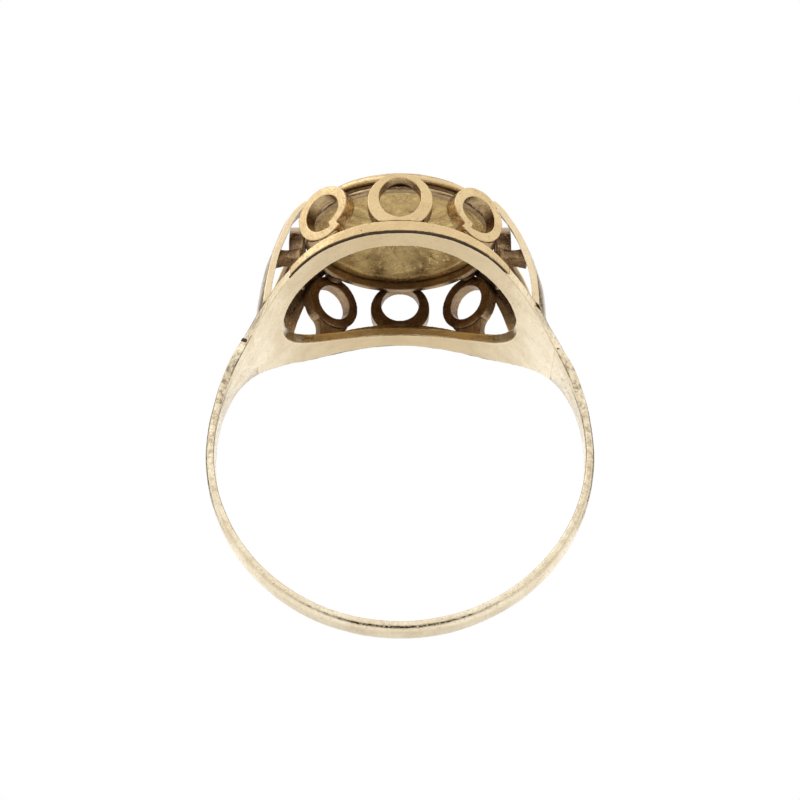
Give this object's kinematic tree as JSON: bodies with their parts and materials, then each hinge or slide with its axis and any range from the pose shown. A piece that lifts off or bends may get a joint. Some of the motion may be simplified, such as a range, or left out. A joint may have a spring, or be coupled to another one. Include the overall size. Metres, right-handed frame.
{
  "type": "cocktail ring",
  "caption": "Finger ring of soldered gold strip with a round coin-like medallion held over a curved saddle by a circle of upright loops and two shoulder straps.",
  "frame": {"origin": "centre of the finger bore, mid-way along it", "axes": "+Y along the finger, away from the seen side; +Z from the bore up to the medallion; +X to the right as the ring is seen"},
  "size_m": [0.019, 0.011, 0.0226],
  "materials": {
    "ring_gold": "polished pale gold alloy, worn and finely scratched",
    "coin_gold": "satin yellower gold, worn relief",
    "solder_gold": "rough solder, slightly darker than the strip"
  },
  "bodies": {
    "root": {"hoop": "ring_gold", "saddle": "ring_gold", "rail_near": "ring_gold", "rail_far": "ring_gold", "collet": "ring_gold", "lip": "ring_gold", "medallion": "coin_gold", "strap_left": "ring_gold", "strap_right": "ring_gold", "loop_near": "ring_gold", "loop_near_left": "ring_gold", "loop_near_right": "ring_gold", "loop_far": "ring_gold", "loop_far_left": "ring_gold", "loop_far_right": "ring_gold", "loop_left": "ring_gold", "loop_right": "ring_gold", "loop_feet": "solder_gold", "solder_beads": "solder_gold"}
  },
  "joints": []
}
